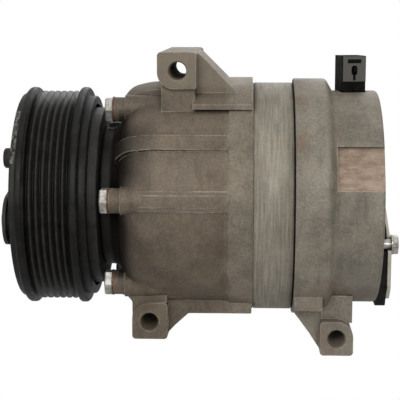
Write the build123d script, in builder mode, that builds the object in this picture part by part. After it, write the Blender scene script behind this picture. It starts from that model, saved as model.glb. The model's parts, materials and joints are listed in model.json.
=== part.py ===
from build123d import *
from math import atan2, cos, degrees, radians, sin
import os

# An engine-driven refrigerant compressor with a poly-V pulley and an electromagnetic clutch.
# Millimetres. X runs along the shaft from the clutch to the rear head, Z is up, and the bores of the
# mounting ears run along Y. The origin is on the shaft axis, in the middle plane of the belt.
# Places on a circle about the shaft are given by their angle from -Y, turning upwards.

# ---- belt pulley
RIB_PITCH = 3.56  # PK belt section
GROOVES = 7
RIB_R = 59.4
GROOVE_R = 56.4
GROOVE_FLOOR = 0.3  # half the width of a groove's floor
GROOVE_SLOPE = 0.364  # half-width gained per mm of height, a 40 degree groove
FLANGE_R = 61.5
PULLEY_FRONT = -16.8
FRICTION_X = -15.5
PULLEY_REAR = 21.0
RIM_IN_R = 52.0
WEB_REAR = -9.5
ROTOR_TUBE_R = 31.0

# ---- pulley bearing, 35 x 55 x 20
BEARING_X = (-12.0, 8.0)
BEARING_IN_R = 17.5
BEARING_OUT_R = 27.5
BALL_R = 3.4
BALL_PITCH_R = 22.5
BALL_ROWS = (-7.0, 3.0)
BALLS_PER_ROW = 11

# ---- clutch
AIR_GAP = 0.4
ARMATURE_X = (-20.1, FRICTION_X - AIR_GAP)
ARMATURE_R = 58.0
HUB_PLATE_X = (-23.8, -22.0)
LOBES = (-10.0, 110.0, 230.0)
LOBE_R = 44.0
LOBE_WIDTH = 27.0
STOPS = (30.5, 150.5, 270.5)
STOP_FACE = -23.9
STOP_PITCH_R = 51.2
STOP_R = 5.4
COIL_REAR = 26.0
COIL_OUT_R = 50.0

# ---- through bolts, M8
BOLT_CIRCLE_R = 56.0
BOLT_ANGLES = (5.0, 65.0, 125.0, 185.0, 245.0, 309.0)
BOLT_R = 4.0
BOLT_HOLE_R = 4.2
BOLT_AF = 12.4
BOLT_SEAT = 33.7
WASHER_T = 1.0
HEAD_T = 4.1
BOLT_END = 147.0
COLLAR_R = 6.7

# ---- casings
NECK_R = 39.5
BARREL_X = 96.3
SHOULDER = ((36.6, 44.0, 3.0), (37.6, 51.0, 9.0), (43.5, 59.6, 12.0), (56.0, 62.5, 38.0))
FRONT_REAR = 109.8  # the joint between front housing and cylinder block
CRANKCASE_R = 50.5
BAND_R = 64.5
BLOCK_FACE = 92.0
BLOCK_REAR = 127.6
BLOCK_RIM = 131.0
BLOCK_R = 64.3
PLATE_R = 61.3
HEAD_FRONT = 131.8
HEAD_R = 66.7
HEAD_STEP = 149.8
HEAD_FOOT = 153.6
HEAD_REAR_R = 60.0
HEAD_END = 178.8
PAD_R = 67.4
PAD_FRONT = 77.0

# ---- mounting ears
EAR_FRONT_Y = -40.0
EAR_REAR_Y = 40.0
UPPER_EAR = (69.0, 72.6)  # bore centre in X and Z
UPPER_EAR_REAR_Y = 64.4
UPPER_BORE_REAR_Y = 30.0
LOWER_EAR = (53.1, -64.6)
REAR_EAR = (155.8, -73.4)
EAR_BORE_R = 4.6
EAR_CHAMFER = 0.8

# ---- swash mechanism, drawn at its shortest stroke
SHAFT_R = 8.0
PISTONS = 5
PISTON_R = 16.95
BORE_R = 17.0
BORE_PITCH_R = 32.5
PISTON_ANGLES = [90.0 + 72.0 * n for n in range(PISTONS)]
PISTON_X = (100.0, 126.5)
BALL_END_R = 5.0
WOBBLE_BALL_X = 86.0
PISTON_BALL_X = 108.0
WOBBLE_X = (81.0, 91.0)
WOBBLE_R = 41.5
GUIDE_Z = -44.0
GUIDE_R = 3.0
LUG_X = (43.6, 49.4)
LUG_PIN_X = 64.0
LUG_PIN_Z = 28.0
LUG_PIN_R = 2.5

# ---- rear head fittings
CONNECTOR_AT = (163.9, 1.0)
CONNECTOR_SIZE = (13.4, 16.4)
CONNECTOR_TURN = 11.0
CONNECTOR_BASE = 59.3
CONNECTOR_TOP = 79.6
CONNECTOR_PLANE = Plane((*CONNECTOR_AT, CONNECTOR_BASE)).rotated((0, 0, CONNECTOR_TURN))
PANEL_T = 0.7  # how far the connector's front panel stands out
PORT_BOSS_FACE = 181.6
PORT_SEAL_FACE = 187.3
PORT_PLATE_FACE = 189.3
PORT_BOLT = (4.0, -28.8)  # Y and Z
PORT_BOLT_R = 3.0
SUCTION_PORT = (33.0, -24.0)
DISCHARGE_PORT = (16.0, -27.0)
VALVE_AT = (-27.0, -24.0)
RELIEF_AT = (8.0, 30.0)



def place(angle, radius):
    """The Y and Z of a point on a circle about the shaft."""
    return (-radius * cos(radians(angle)), radius * sin(radians(angle)))


def turned(*points, mode=Mode.ADD):
    """A solid turned about the shaft axis, through (X, radius) points. A third value rounds that corner."""
    with BuildSketch(Plane.XZ) as profile:
        with BuildLine():
            Polyline(*[point[:2] for point in points], close=True)
        make_face()
        for point in points:
            if len(point) == 3:
                fillet(profile.vertices().sort_by_distance(point[:2])[0], radius=point[2])
    revolve(profile.sketch, axis=Axis.X, mode=mode)


def disc(x_range, r_out, r_in=0.0, at=(0.0, 0.0), mode=Mode.ADD):
    """A round slice along X, with a hole of radius r_in, centred on a point of the YZ plane."""
    with BuildSketch(Plane.YZ.offset(x_range[0])) as face:
        with Locations(at):
            Circle(r_out)
            if r_in:
                Circle(r_in, mode=Mode.SUBTRACT)
    extrude(face.sketch, amount=x_range[1] - x_range[0], mode=mode)


def hexagon(x_range, across_flats, at=(0.0, 0.0), mode=Mode.ADD):
    """A hexagonal slice along X."""
    with BuildSketch(Plane.YZ.offset(x_range[0])) as face:
        with Locations(at):
            RegularPolygon(across_flats / 2, 6, major_radius=False)
    extrude(face.sketch, amount=x_range[1] - x_range[0], mode=mode)


def slab(y_range, *points, mode=Mode.ADD):
    """A flat piece between two Y values, through (X, Z) points. A third value rounds that corner."""
    with BuildSketch(Plane.XZ.offset(-y_range[0])) as face:
        with BuildLine():
            Polyline(*[point[:2] for point in points], close=True)
        make_face()
        for point in points:
            if len(point) == 3:
                fillet(face.vertices().sort_by_distance(point[:2])[0], radius=point[2])
    extrude(face.sketch, amount=y_range[0] - y_range[1], mode=mode)


def cross_bore(centre, radius, y_range):
    """A hole along Y through an ear, at a point of the XZ plane."""
    with BuildSketch(Plane.XZ.offset(-y_range[0])) as face:
        with Locations(centre):
            Circle(radius)
    extrude(face.sketch, amount=y_range[0] - y_range[1], mode=Mode.SUBTRACT)


def countersink(centre, y_mouth, inward):
    """A small cone at the mouth of an ear's bore. inward is +1 where the bore runs towards +Y."""
    with BuildSketch(Plane.XZ.offset(-y_mouth)) as face:
        with Locations(centre):
            Circle(EAR_BORE_R + EAR_CHAMFER)
    extrude(face.sketch, amount=-inward * EAR_CHAMFER, taper=45, mode=Mode.SUBTRACT)


def ridge(angle, width, lift):
    """A raised band along the barrel and over its shoulder, facing outwards at an angle about the shaft."""
    with BuildPart() as band:
        turned(
            *[(x - lift, r + lift, rounding) for x, r, rounding in SHOULDER],
            (BARREL_X, BAND_R - 0.3),
            (BARREL_X, CRANKCASE_R + 1.0),
            (42.0, 44.0 + lift),
        )
        with BuildSketch(Plane.YZ) as reach:
            with Locations(Location(place(angle, 56.0), -angle)):
                Rectangle(24.0, width)
        extrude(reach.sketch, amount=BARREL_X, mode=Mode.INTERSECT)
    add(band.part)


def outline(x_range, *points, mode=Mode.ADD):
    """A flat piece between two X values, through (Y, Z) points. A third value rounds that corner."""
    with BuildSketch(Plane.YZ.offset(x_range[0])) as face:
        with BuildLine():
            Polyline(*[point[:2] for point in points], close=True)
        make_face()
        for point in points:
            if len(point) == 3:
                fillet(face.vertices().sort_by_distance(point[:2])[0], radius=point[2])
    extrude(face.sketch, amount=x_range[1] - x_range[0], mode=mode)


def bolt_holes(x_range, radius=BOLT_HOLE_R):
    """The clearance holes of the six through bolts."""
    for angle in BOLT_ANGLES:
        disc(x_range, radius, at=place(angle, BOLT_CIRCLE_R), mode=Mode.SUBTRACT)


os.makedirs("parts", exist_ok=True)


def save(piece, label):
    """Labels a finished piece and writes it."""
    piece.part.label = label
    export_step(piece.part, "parts/" + label + ".step")


# ==== casings ====

with BuildPart() as front_housing:
    turned(
        (-13.0, 13.0),
        (-13.0, BEARING_IN_R),
        (BEARING_X[1], BEARING_IN_R),
        (BEARING_X[1], 21.0),
        (COIL_REAR, 21.0),
        (COIL_REAR, NECK_R, 1.5),
        (32.0, NECK_R, 3.0),
        *SHOULDER,
        (BARREL_X, 63.5),
        (BARREL_X, BAND_R, 0.4),
        (FRONT_REAR - 0.6, BAND_R),
        (FRONT_REAR, BAND_R - 0.6),
        (FRONT_REAR, CRANKCASE_R),
        (50.0, CRANKCASE_R, 4.0),
        (43.2, 46.0, 4.0),
        (41.0, 30.0, 3.0),
        (41.0, 11.0),
        (10.0, 11.0),
        (10.0, 13.0),
    )
    for angle in BOLT_ANGLES:
        disc((BOLT_SEAT, 46.0), COLLAR_R, at=place(angle, BOLT_CIRCLE_R))
        with BuildSketch(Plane.YZ.offset(39.6)) as boss_root:
            with Locations(place(angle, BOLT_CIRCLE_R + 0.4)):
                Circle(7.6)
        extrude(boss_root.sketch, amount=30.0, taper=1.6)
    # ribs over the near and far sides, and the thick band over the top in front of the ear
    for angle in (5.0, 175.0):
        ridge(angle, 11.0, 0.9)
        ridge(angle, 6.6, 1.7)
    for angle in (34.0, 146.0):
        ridge(angle, 8.8, 1.9)
    ridge(94.0, 50.0, 2.5)
    # the lug that keys the clutch coil, over the neck
    slab((-7.0, 7.0), (28.0, 34.0), (28.0, 42.0, 1.0), (40.0, 42.0), (40.0, 34.0))
    # the raised pad over the top, behind the upper ear
    with BuildSketch(Plane.YZ.offset(PAD_FRONT)) as pad:
        Circle(PAD_R)
        with Locations((0, 65)):
            Rectangle(79.0, 26.0, mode=Mode.INTERSECT)
    extrude(pad.sketch, amount=FRONT_REAR - 0.6 - PAD_FRONT)
    # upper ear: the lug, the block under it and the wedge behind it
    slab(
        (EAR_FRONT_Y, UPPER_EAR_REAR_Y),
        (58.0, 62.8, 9.0),
        (58.0, 82.5, 2.0),
        (79.0, 82.5, 2.0),
        (79.0, 62.8, 1.0),
    )
    slab((-37.0, 61.0), (60.0, 40.0), (60.0, 66.0), (78.0, 66.0), (78.0, 40.0))
    slab(
        (-30.0, 30.0),
        (74.0, 50.0),
        (74.0, 81.6),
        (79.9, 81.6),
        (100.6, 60.9),
        (104.0, 55.0),
        (104.0, 50.0),
    )
    # lower ear, the web above it, its gusset and the bottom rail
    slab(
        (EAR_FRONT_Y, EAR_REAR_Y),
        (43.6, -54.2, 9.0),
        (63.1, -54.2, 2.0),
        (63.1, -74.4, 2.0),
        (43.6, -74.4, 2.0),
    )
    for y_range in ((-38.4, -26.0), (26.0, 38.4)):
        slab(
            y_range,
            (38.4, -40.0),
            (62.5, -40.0),
            (62.5, -66.0),
            (43.7, -66.0),
            (43.7, -53.6, 3.0),
            (40.6, -50.0, 3.0),
            (38.4, -50.0),
        )
    slab(
        (-33.0, 33.0),
        (58.0, -48.0),
        (58.0, -74.4),
        (62.7, -74.4),
        (63.5, -71.8, 2.0),
        (67.0, -68.0, 2.0),
        (74.4, -61.3, 2.0),
        (FRONT_REAR - 0.6, -61.3, 1.0),
        (FRONT_REAR - 0.6, -48.0),
    )
    # the sloping facet that runs from the ear into the band
    with BuildSketch(Plane.YZ.offset(62.0)) as facet_wide:
        with BuildLine():
            Polyline((-33.0, -54.5), (-36.6, -52.0), (-45.5, -43.0), (-30.0, -43.0), close=True)
        make_face()
    extrude(facet_wide.sketch, amount=44.0, taper=3.2)
    # bores and holes
    turned((10.0, 0), (10.0, 11.0), (FRONT_REAR, 11.0), (FRONT_REAR, 0), mode=Mode.SUBTRACT)
    turned(
        (41.0, 0),
        (41.0, 30.0, 3.0),
        (43.2, 46.0, 4.0),
        (50.0, CRANKCASE_R, 4.0),
        (FRONT_REAR, CRANKCASE_R),
        (FRONT_REAR, 0),
        mode=Mode.SUBTRACT,
    )
    bolt_holes((BOLT_SEAT - 0.1, FRONT_REAR + 0.1))
    disc((38.0, 44.0), GUIDE_R, at=(0.0, GUIDE_Z), mode=Mode.SUBTRACT)
    cross_bore(UPPER_EAR, EAR_BORE_R, (EAR_FRONT_Y, UPPER_EAR_REAR_Y))
    cross_bore(UPPER_EAR, 7.0, (UPPER_BORE_REAR_Y, UPPER_EAR_REAR_Y))
    countersink(UPPER_EAR, EAR_FRONT_Y, 1)
    cross_bore(LOWER_EAR, EAR_BORE_R, (EAR_FRONT_Y, EAR_REAR_Y))
    countersink(LOWER_EAR, EAR_FRONT_Y, 1)
    countersink(LOWER_EAR, EAR_REAR_Y, -1)
    # the drain hole on the far side
    with BuildSketch(Plane.XZ.offset(-68.0)) as drain:
        with Locations((84.0, -20.0)):
            Circle(4.0)
    extrude(drain.sketch, amount=30.0, mode=Mode.SUBTRACT)
save(front_housing, "front_housing")

with BuildPart() as cylinder_block:
    turned(
        (BLOCK_FACE, 0),
        (BLOCK_FACE, CRANKCASE_R, 0.6),
        (FRONT_REAR, CRANKCASE_R),
        (FRONT_REAR, BLOCK_R - 0.6),
        (FRONT_REAR + 0.6, BLOCK_R),
        (BLOCK_RIM - 0.4, BLOCK_R),
        (BLOCK_RIM, BLOCK_R - 0.4),
        (BLOCK_RIM, PLATE_R),
        (BLOCK_REAR, PLATE_R),
        (BLOCK_REAR, 0),
    )
    disc((FRONT_REAR, FRONT_REAR + 1.7), 62.6, 60.8, mode=Mode.SUBTRACT)
    for angle in PISTON_ANGLES:
        disc((BLOCK_FACE, BLOCK_REAR), BORE_R, at=place(angle, BORE_PITCH_R), mode=Mode.SUBTRACT)
    disc((BLOCK_FACE, 120.0), 11.0, mode=Mode.SUBTRACT)
    disc((BLOCK_FACE, 102.0), GUIDE_R, at=(0.0, GUIDE_Z), mode=Mode.SUBTRACT)
    bolt_holes((FRONT_REAR - 0.1, BLOCK_RIM + 0.1))
save(cylinder_block, "cylinder_block")

with BuildPart() as rear_head:
    turned(
        (HEAD_FRONT, 0),
        (HEAD_FRONT, HEAD_R - 0.5),
        (HEAD_FRONT + 0.5, HEAD_R),
        (HEAD_STEP, HEAD_R, 3.0),
        (HEAD_FOOT, HEAD_REAR_R),
        (HEAD_END, HEAD_REAR_R, 1.8),
        (HEAD_END, 0),
    )
    # boss under the port cover
    outline(
        (HEAD_END - 1.0, PORT_BOSS_FACE),
        (7.0, -20.0, 4.0),
        (7.0, -46.0, 8.0),
        (20.0, -54.0, 8.0),
        (40.0, -42.0, 8.0),
        (42.0, -18.0, 5.0),
        (33.0, -14.0, 5.0),
    )
    # seat of the connector
    with BuildSketch(CONNECTOR_PLANE) as connector_seat:
        Rectangle(CONNECTOR_SIZE[0] + 1.0, CONNECTOR_SIZE[1] + 3.0)
    extrude(connector_seat.sketch, amount=5.0, mode=Mode.SUBTRACT)
    # flat recessed panel on the near side
    with BuildSketch(Plane.YZ.offset(HEAD_FOOT + 0.4)) as panel:
        with Locations(Location((0, 0), -26.2)):
            with Locations((-57.15 - 10.0, -4.0)):
                Rectangle(20.0, 24.0)
    extrude(panel.sketch, amount=HEAD_END - HEAD_FOOT, mode=Mode.SUBTRACT)
    # lower ear, the block above it and its gusset
    slab(
        (EAR_FRONT_Y, EAR_REAR_Y),
        (146.7, -63.8, 2.0),
        (164.9, -63.8, 9.0),
        (164.9, -82.8, 2.0),
        (146.7, -82.8, 2.0),
    )
    slab((-33.0, 33.0), (147.6, -50.8), (164.7, -50.8), (164.7, -66.0), (147.6, -66.0))
    slab(
        (-45.5, 45.5),
        (132.4, -44.0),
        (147.4, -44.0, 1.0),
        (147.4, -56.5, 1.0),
        (132.4, -56.5),
    )
    slab(
        (-32.0, 32.0),
        (132.9, -50.0),
        (132.9, -61.0),
        (141.0, -72.0, 8.0),
        (147.2, -81.6),
        (150.0, -81.6),
        (150.0, -50.0),
    )
    # gas chambers: suction ring outside, discharge in the middle
    turned((HEAD_FRONT, 30.0), (HEAD_FRONT, 49.5), (157.0, 49.5, 3.0), (157.0, 30.0, 3.0), mode=Mode.SUBTRACT)
    turned((HEAD_FRONT, 0), (HEAD_FRONT, 26.0), (155.0, 26.0, 3.0), (155.0, 0), mode=Mode.SUBTRACT)
    for angle in BOLT_ANGLES:
        disc((HEAD_FRONT, 150.0), BOLT_R, at=place(angle, BOLT_CIRCLE_R), mode=Mode.SUBTRACT)
    # the two gas ports, the gallery that feeds the inner one, and the thread of the cover's bolt
    disc((150.0, 182.0), 7.5, at=SUCTION_PORT, mode=Mode.SUBTRACT)
    disc((160.0, 182.0), 5.0, at=DISCHARGE_PORT, mode=Mode.SUBTRACT)
    disc((150.0, 162.0), 10.0, mode=Mode.SUBTRACT)
    gallery = Vector(DISCHARGE_PORT)
    with BuildSketch(Plane.YZ.offset(159.5)) as gallery_slot:
        with Locations(Location(gallery / 2, degrees(atan2(gallery.Y, gallery.X)))):
            SlotCenterToCenter(gallery.length, 10.0)
    extrude(gallery_slot.sketch, amount=6.0, mode=Mode.SUBTRACT)
    disc((160.0, 182.0), PORT_BOLT_R, at=PORT_BOLT, mode=Mode.SUBTRACT)
    # cavities of the control valve, the relief valve and the connector's sensor
    disc((158.0, HEAD_END), 8.5, at=VALVE_AT, mode=Mode.SUBTRACT)
    disc((160.0, HEAD_END), 5.0, at=RELIEF_AT, mode=Mode.SUBTRACT)
    with BuildSketch(Plane.XY.offset(46.0)) as sensor_hole:
        with Locations(CONNECTOR_AT):
            Circle(3.5)
    extrude(sensor_hole.sketch, amount=20.0, mode=Mode.SUBTRACT)
    cross_bore(REAR_EAR, EAR_BORE_R, (EAR_FRONT_Y, EAR_REAR_Y))
    countersink(REAR_EAR, EAR_FRONT_Y, 1)
    countersink(REAR_EAR, EAR_REAR_Y, -1)
save(rear_head, "rear_head")

# ==== what joins and seals the casings ====

with BuildPart() as through_bolts:
    for angle in BOLT_ANGLES:
        centre = place(angle, BOLT_CIRCLE_R)
        hexagon((BOLT_SEAT - WASHER_T - HEAD_T, BOLT_SEAT - WASHER_T), BOLT_AF, at=centre)
        disc((BOLT_SEAT - WASHER_T, BOLT_END), BOLT_R, at=centre)
    chamfer(through_bolts.faces().filter_by(Axis.X).group_by(Axis.X)[0].edges(), length=0.6)
save(through_bolts, "through_bolts")

with BuildPart() as through_bolt_washers:
    for angle in BOLT_ANGLES:
        disc((BOLT_SEAT - WASHER_T, BOLT_SEAT), 7.0, BOLT_HOLE_R, at=place(angle, BOLT_CIRCLE_R))
save(through_bolt_washers, "through_bolt_washers")

with BuildPart() as housing_o_ring:
    disc((FRONT_REAR, FRONT_REAR + 1.6), 62.5, 60.9)
save(housing_o_ring, "housing_o_ring")

with BuildPart() as suction_reed:
    disc((BLOCK_REAR, 127.9), PLATE_R - 0.1)
    for angle in PISTON_ANGLES:
        disc((BLOCK_REAR, 127.9), 7.0, 6.0, at=place(angle, 40.0), mode=Mode.SUBTRACT)
        with BuildSketch(Plane.YZ.offset(BLOCK_REAR)) as tongue:
            with Locations(Location(place(angle, 36.0), -angle)):
                Rectangle(8.0, 7.0)
        extrude(tongue.sketch, amount=0.3)
    bolt_holes((BLOCK_REAR, 127.9))
save(suction_reed, "suction_reed")

with BuildPart() as valve_plate:
    disc((127.9, 131.2), PLATE_R - 0.1)
    for angle in PISTON_ANGLES:
        disc((127.9, 131.2), 4.5, at=place(angle, 40.0), mode=Mode.SUBTRACT)
        disc((127.9, 131.2), 3.0, at=place(angle, 20.0), mode=Mode.SUBTRACT)
    disc((127.9, 131.2), 2.5, mode=Mode.SUBTRACT)
    bolt_holes((127.9, 131.2))
save(valve_plate, "valve_plate")

with BuildPart() as discharge_reed:
    disc((131.2, 131.6), 9.0)
    for angle in PISTON_ANGLES:
        disc((131.2, 131.6), 4.2, at=place(angle, 20.0))
        with BuildSketch(Plane.YZ.offset(131.2)) as petal:
            with Locations(Location(place(angle, 12.0), -angle)):
                Rectangle(14.0, 6.0)
        extrude(petal.sketch, amount=0.4)
    disc((131.2, 131.6), 2.5, mode=Mode.SUBTRACT)
save(discharge_reed, "discharge_reed")

with BuildPart() as reed_retainer:
    disc((131.6, 133.4), 8.5)
    for angle in PISTON_ANGLES:
        with BuildSketch(Plane.YZ.offset(132.4)) as arm:
            with Locations(Location(place(angle, 13.0), -angle)):
                RectangleRounded(19.0, 6.0, 2.5)
        extrude(arm.sketch, amount=1.4)
    disc((128.4, 131.7), 2.4)
    disc((133.4, 135.4), 4.5)
save(reed_retainer, "reed_retainer")

with BuildPart() as rear_gasket:
    disc((131.2, HEAD_FRONT), PLATE_R - 0.1, 50.0)
    disc((131.2, HEAD_FRONT), 29.6, 26.4)
    bolt_holes((131.2, HEAD_FRONT))
save(rear_gasket, "rear_gasket")

# ==== clutch coil ====

with BuildPart() as coil_shell:
    turned(
        (COIL_REAR, 21.1),
        (COIL_REAR, COIL_OUT_R, 1.0),
        (-6.5, COIL_OUT_R),
        (-6.5, 47.4),
        (22.5, 47.4),
        (22.5, 36.0),
        (-6.5, 36.0),
        (-6.5, 33.2),
        (20.0, 33.2),
        (20.0, 21.1),
    )
save(coil_shell, "coil_shell")

with BuildPart() as coil_winding:
    turned((-5.2, 36.2), (-5.2, 47.2), (22.4, 47.2), (22.4, 36.2))
    fillet(coil_winding.edges().filter_by(GeomType.CIRCLE).group_by(Axis.X)[0], radius=1.5)
save(coil_winding, "coil_winding")

with BuildPart() as coil_snap_ring:
    disc((18.6, 19.9), 24.0, 21.05)
    with BuildSketch(Plane.YZ.offset(18.0)) as ring_gap:
        with Locations((0, -22.0)):
            Rectangle(7.0, 8.0)
    extrude(ring_gap.sketch, amount=3.0, mode=Mode.SUBTRACT)
save(coil_snap_ring, "coil_snap_ring")

# ==== pulley and its bearing ====

with BuildPart() as pulley:
    rim = [(PULLEY_FRONT, 59.2), (PULLEY_FRONT, FLANGE_R, 1.6)]
    last_groove = (GROOVES - 1) / 2
    flange_half = GROOVE_FLOOR + (FLANGE_R - GROOVE_R) * GROOVE_SLOPE
    rib_half = GROOVE_FLOOR + (RIB_R - GROOVE_R) * GROOVE_SLOPE
    for groove in range(GROOVES):
        x = (groove - last_groove) * RIB_PITCH
        first, last = groove == 0, groove == GROOVES - 1
        rim.append((x - flange_half, FLANGE_R, 1.2) if first else (x - rib_half, RIB_R))
        rim.append((x - GROOVE_FLOOR, GROOVE_R))
        rim.append((x + GROOVE_FLOOR, GROOVE_R))
        rim.append((x + flange_half, FLANGE_R, 1.2) if last else (x + rib_half, RIB_R))
    turned(
        *rim,
        (-PULLEY_FRONT, FLANGE_R, 1.6),
        (-PULLEY_FRONT, 56.6),
        (PULLEY_REAR, 56.6, 1.0),
        (PULLEY_REAR, RIM_IN_R),
        (WEB_REAR, RIM_IN_R, 1.5),
        (WEB_REAR, ROTOR_TUBE_R, 1.5),
        (10.4, ROTOR_TUBE_R),
        (10.4, BEARING_OUT_R),
        (BEARING_X[0], BEARING_OUT_R),
        (BEARING_X[0], 26.0),
        (FRICTION_X, 26.0),
        (FRICTION_X, 59.2),
    )
    turned((8.1, 27.0), (8.1, 28.5), (9.4, 28.5), (9.4, 27.0), mode=Mode.SUBTRACT)
    # slots that steer the magnetic field through the friction face
    with BuildSketch(Plane.YZ.offset(FRICTION_X - 0.1)) as slots:
        Circle(46.0)
        Circle(43.4, mode=Mode.SUBTRACT)
        Circle(37.0)
        Circle(34.6, mode=Mode.SUBTRACT)
        with PolarLocations(40.0, 6):
            Rectangle(20.0, 7.0, mode=Mode.SUBTRACT)
    extrude(slots.sketch, amount=7.0, mode=Mode.SUBTRACT)
save(pulley, "pulley")

with BuildPart() as bearing_inner_race:
    disc(BEARING_X, 20.6, BEARING_IN_R)
    for x in BALL_ROWS:
        with Locations(Location((x, 0, 0), (0, 90, 0))):
            Torus(BALL_PITCH_R, BALL_R + 0.1, mode=Mode.SUBTRACT)
save(bearing_inner_race, "bearing_inner_race")

with BuildPart() as bearing_outer_race:
    disc(BEARING_X, BEARING_OUT_R, 24.4)
    for x in BALL_ROWS:
        with Locations(Location((x, 0, 0), (0, 90, 0))):
            Torus(BALL_PITCH_R, BALL_R + 0.1, mode=Mode.SUBTRACT)
save(bearing_outer_race, "bearing_outer_race")

with BuildPart() as bearing_balls:
    for x in BALL_ROWS:
        for ball in range(BALLS_PER_ROW):
            y, z = place(360.0 / BALLS_PER_ROW * ball, BALL_PITCH_R)
            with Locations((x, y, z)):
                Sphere(BALL_R)
save(bearing_balls, "bearing_balls")

with BuildPart() as bearing_cage:
    disc((-11.4, 7.4), 23.2, 21.8)
    for x in BALL_ROWS:
        for ball in range(BALLS_PER_ROW):
            outward = (0, *place(360.0 / BALLS_PER_ROW * ball, 1.0))
            with BuildSketch(Plane((x, 0, 0), x_dir=(1, 0, 0), z_dir=outward)) as pocket:
                Circle(BALL_R + 0.15)
            extrude(pocket.sketch, amount=BALL_PITCH_R + 5.0, mode=Mode.SUBTRACT)
save(bearing_cage, "bearing_cage")

with BuildPart() as pulley_snap_ring:
    disc((8.1, 9.4), 28.4, 25.4)
    with BuildSketch(Plane.YZ.offset(8.0)) as snap_gap:
        with Locations((0, -26.0)):
            Rectangle(8.0, 8.0)
    extrude(snap_gap.sketch, amount=2.0, mode=Mode.SUBTRACT)
save(pulley_snap_ring, "pulley_snap_ring")

with BuildPart() as bearing_snap_ring:
    disc((-13.6, -12.0), 20.0, 17.6)
    with BuildSketch(Plane.YZ.offset(-14.0)) as race_gap:
        with Locations((0, -18.5)):
            Rectangle(6.0, 8.0)
    extrude(race_gap.sketch, amount=3.0, mode=Mode.SUBTRACT)
save(bearing_snap_ring, "bearing_snap_ring")

# ==== clutch hub and armature ====

with BuildPart() as clutch_hub:
    disc((-24.6, -8.0), 11.0)
    disc((-24.6, HUB_PLATE_X[0]), 19.0)
    fillet(clutch_hub.edges().filter_by(GeomType.CIRCLE).group_by(Axis.X)[0], radius=0.5)
    disc((-24.7, -18.5), 7.5, mode=Mode.SUBTRACT)
    disc((-18.6, -7.9), SHAFT_R - 1.0, mode=Mode.SUBTRACT)
    with BuildSketch(Plane.YZ.offset(-18.5)) as hub_keyway:
        with Locations((0, 7.0)):
            Rectangle(4.0, 3.6)
    extrude(hub_keyway.sketch, amount=10.6, mode=Mode.SUBTRACT)
save(clutch_hub, "clutch_hub")

with BuildPart() as hub_plate:
    with BuildSketch(Plane.YZ.offset(HUB_PLATE_X[0])) as spider:
        Circle(25.0)
        for angle in LOBES:
            with Locations(Location(place(angle, LOBE_R / 2), -angle)):
                SlotCenterToCenter(LOBE_R, LOBE_WIDTH)
        roots = spider.vertices().filter_by(lambda corner: abs(Vector(corner).length - 25.0) < 0.1)
        fillet(roots, radius=5.0)
        Circle(11.0, mode=Mode.SUBTRACT)
        for angle in LOBES:
            with Locations(place(angle, LOBE_R)):
                Circle(3.6, mode=Mode.SUBTRACT)
    extrude(spider.sketch, amount=HUB_PLATE_X[1] - HUB_PLATE_X[0])
    fillet(hub_plate.edges().group_by(Axis.X)[0].sort_by(Edge.length)[-1], radius=0.6)
save(hub_plate, "hub_plate")

with BuildPart() as hub_rubbers:
    for angle in LOBES:
        disc((HUB_PLATE_X[1], ARMATURE_X[0]), 10.0, 3.8, at=place(angle, LOBE_R))
save(hub_rubbers, "hub_rubbers")

with BuildPart() as armature_plate:
    turned(
        (ARMATURE_X[0], 31.0),
        (ARMATURE_X[0], ARMATURE_R, 0.9),
        (ARMATURE_X[1], ARMATURE_R, 0.4),
        (ARMATURE_X[1], 31.0),
    )
    with BuildSketch(Plane.YZ.offset(ARMATURE_X[0])) as windows:
        Circle(41.8)
        Circle(39.4, mode=Mode.SUBTRACT)
        with PolarLocations(40.6, 6, start_angle=30.0):
            Rectangle(8.0, 17.0, mode=Mode.SUBTRACT)
    extrude(windows.sketch, amount=5.0, mode=Mode.SUBTRACT)
    for angle in LOBES:
        disc(ARMATURE_X, 3.0, at=place(angle, LOBE_R), mode=Mode.SUBTRACT)
    for angle in STOPS:
        disc((STOP_FACE, ARMATURE_X[0]), STOP_R, at=place(angle, STOP_PITCH_R))
    chamfer(armature_plate.edges().group_by(Axis.X)[0], length=0.8)
save(armature_plate, "armature_plate")

with BuildPart() as armature_rivets:
    for angle in LOBES:
        centre = place(angle, LOBE_R)
        disc((HUB_PLATE_X[0] - 0.5, ARMATURE_X[1] - 0.3), 3.0, at=centre)
        disc((HUB_PLATE_X[0] - 2.0, HUB_PLATE_X[0] - 0.5), 5.4, at=centre)
    fillet(armature_rivets.faces().filter_by(Axis.X).group_by(Axis.X)[0].edges(), radius=0.9)
save(armature_rivets, "armature_rivets")

# ==== shaft ====

with BuildPart() as drive_shaft:
    turned(
        (-24.2, 0),
        (-24.2, 4.0, 0.6),
        (-18.5, 4.0),
        (-18.5, SHAFT_R - 1.05),
        (-8.0, SHAFT_R - 1.05),
        (-8.0, SHAFT_R),
        (117.0, SHAFT_R, 0.8),
        (117.0, 0),
    )
    with BuildSketch(Plane.YZ.offset(-17.9)) as shaft_keyway:
        with Locations((0, 7.0)):
            Rectangle(3.0, 3.4)
    extrude(shaft_keyway.sketch, amount=9.2, mode=Mode.SUBTRACT)
save(drive_shaft, "drive_shaft")

with BuildPart() as shaft_key:
    with BuildSketch(Plane.YZ.offset(-17.8)) as key_end:
        with Locations((0, 7.0)):
            Rectangle(2.98, 3.3)
    extrude(key_end.sketch, amount=9.0)
save(shaft_key, "shaft_key")

with BuildPart() as shaft_nut:
    hexagon((-24.0, -18.5), 13.0)
    disc((-24.0, -18.5), 4.0, mode=Mode.SUBTRACT)
    turned((-24.0, 6.9), (-24.0, 8.0), (-22.9, 8.0), mode=Mode.SUBTRACT)
save(shaft_nut, "shaft_nut")

with BuildPart() as shaft_seal:
    turned(
        (0.5, 8.3),
        (0.5, 9.4),
        (3.0, 10.2),
        (3.0, 13.0),
        (9.6, 13.0),
        (9.6, 8.9),
        (6.0, 8.9),
        (5.0, 8.3),
    )
save(shaft_seal, "shaft_seal")

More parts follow.
